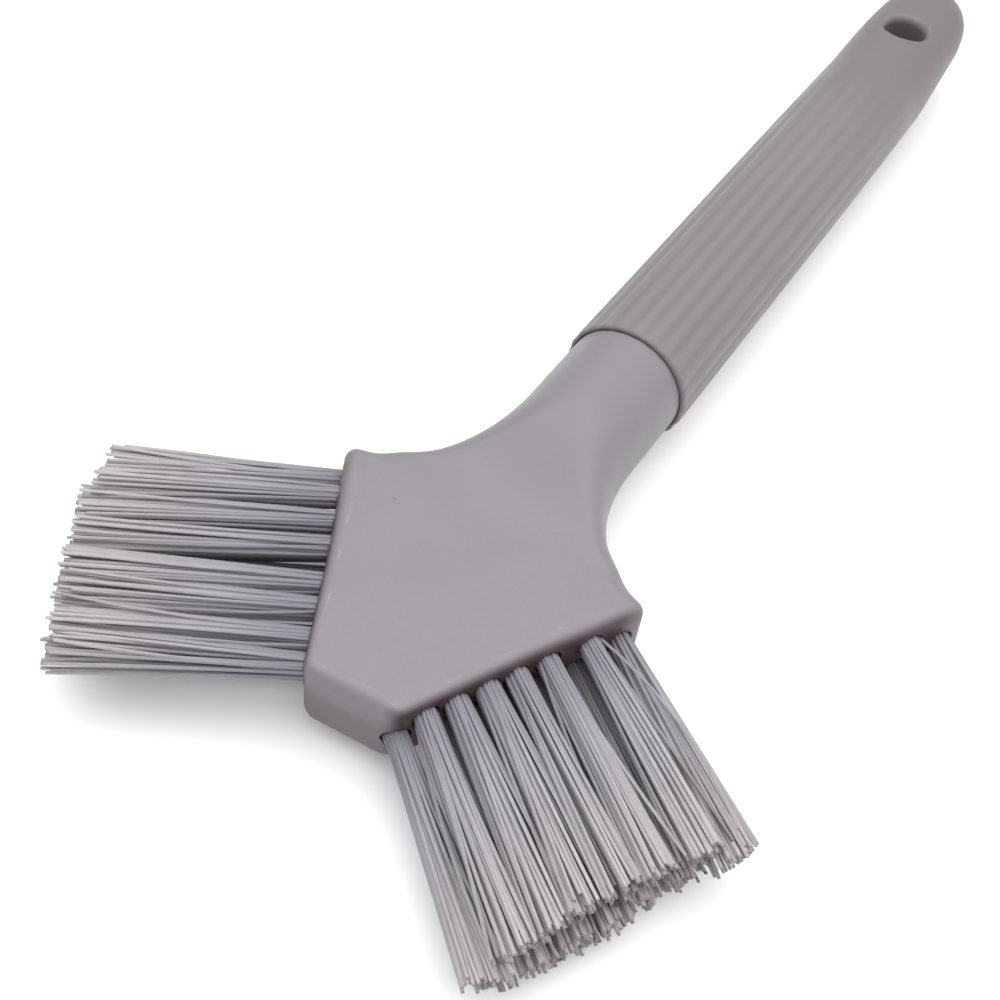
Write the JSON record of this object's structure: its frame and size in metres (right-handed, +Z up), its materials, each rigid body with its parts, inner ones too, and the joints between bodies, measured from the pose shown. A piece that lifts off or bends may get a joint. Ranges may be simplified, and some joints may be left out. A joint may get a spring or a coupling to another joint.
{
  "type": "crevice brush",
  "caption": "Hand brush with a flat V-shaped head, a bank of stiff bristle tufts on each face of the V, a round neck and a ribbed straight grip with a hang hole.",
  "frame": {"origin": "on the centre plane, midway along the whole length, at the height of the lowest point of the grip", "axes": "+Y from the nose of the head to the tip of the grip, +Z up out of the flat upper side of the head, +X to the right seen from behind the grip"},
  "size_m": [0.1004, 0.2182, 0.02],
  "materials": {
    "head_plastic": "satin",
    "grip_plastic": "satin",
    "bristle_fibre": "satin",
    "anchor_steel": "plain"
  },
  "bodies": {
    "handle": {"head_block": "head_plastic", "grip_handle": "grip_plastic", "tuft_roots_left": "bristle_fibre", "tuft_roots_right": "bristle_fibre", "tuft_anchors_left": "anchor_steel", "tuft_anchors_right": "anchor_steel"},
    "left_upper_row": {"tuft_left_upper_1": "bristle_fibre", "tuft_left_upper_2": "bristle_fibre", "tuft_left_upper_3": "bristle_fibre", "tuft_left_upper_4": "bristle_fibre", "tuft_left_upper_5": "bristle_fibre", "tuft_left_upper_6": "bristle_fibre", "tuft_left_upper_7": "bristle_fibre"},
    "left_lower_row": {"tuft_left_lower_1": "bristle_fibre", "tuft_left_lower_2": "bristle_fibre", "tuft_left_lower_3": "bristle_fibre", "tuft_left_lower_4": "bristle_fibre", "tuft_left_lower_5": "bristle_fibre"},
    "left_end_tufts": {"tuft_left_end_1": "bristle_fibre"},
    "right_upper_row": {"tuft_right_upper_1": "bristle_fibre", "tuft_right_upper_2": "bristle_fibre", "tuft_right_upper_3": "bristle_fibre", "tuft_right_upper_4": "bristle_fibre", "tuft_right_upper_5": "bristle_fibre", "tuft_right_upper_6": "bristle_fibre"},
    "right_lower_row": {"tuft_right_lower_1": "bristle_fibre", "tuft_right_lower_2": "bristle_fibre", "tuft_right_lower_3": "bristle_fibre", "tuft_right_lower_4": "bristle_fibre", "tuft_right_lower_5": "bristle_fibre"},
    "right_end_tufts": {"tuft_right_end_1": "bristle_fibre", "tuft_right_end_2": "bristle_fibre"}
  },
  "joints": [
    {"name": "left_upper_row_bend", "type": "hinge", "parent": "handle", "child": "left_upper_row", "pos_m": [-0.01448, -0.07573, 0.01079], "axis": [-0.4546, 0.8907, 0], "range_deg": [-25, 25], "stiffness_Nm_per_rad": 0.0677},
    {"name": "left_lower_row_bend", "type": "hinge", "parent": "handle", "child": "left_lower_row", "pos_m": [-0.01448, -0.07573, 0.00643], "axis": [-0.4546, 0.8907, 0], "range_deg": [-25, 25], "stiffness_Nm_per_rad": 0.048},
    {"name": "left_end_tufts_bend", "type": "hinge", "parent": "handle", "child": "left_end_tufts", "pos_m": [-0.01448, -0.07573, 0.00861], "axis": [-0.4546, 0.8907, 0], "range_deg": [-25, 25], "stiffness_Nm_per_rad": 0.0095},
    {"name": "right_upper_row_bend", "type": "hinge", "parent": "handle", "child": "right_upper_row", "pos_m": [0.01448, -0.07573, 0.01079], "axis": [-0.4546, -0.8907, 0], "range_deg": [-25, 25], "stiffness_Nm_per_rad": 0.058},
    {"name": "right_lower_row_bend", "type": "hinge", "parent": "handle", "child": "right_lower_row", "pos_m": [0.01448, -0.07573, 0.00643], "axis": [-0.4546, -0.8907, 0], "range_deg": [-25, 25], "stiffness_Nm_per_rad": 0.048},
    {"name": "right_end_tufts_bend", "type": "hinge", "parent": "handle", "child": "right_end_tufts", "pos_m": [0.01448, -0.07573, 0.00861], "axis": [-0.4546, -0.8907, 0], "range_deg": [-25, 25], "stiffness_Nm_per_rad": 0.019}
  ],
  "couplings": [
    {"joint": "left_lower_row_bend", "follows": "left_upper_row_bend", "ratio": 1},
    {"joint": "left_end_tufts_bend", "follows": "left_upper_row_bend", "ratio": 1},
    {"joint": "right_lower_row_bend", "follows": "right_upper_row_bend", "ratio": 1},
    {"joint": "right_end_tufts_bend", "follows": "right_upper_row_bend", "ratio": 1}
  ]
}
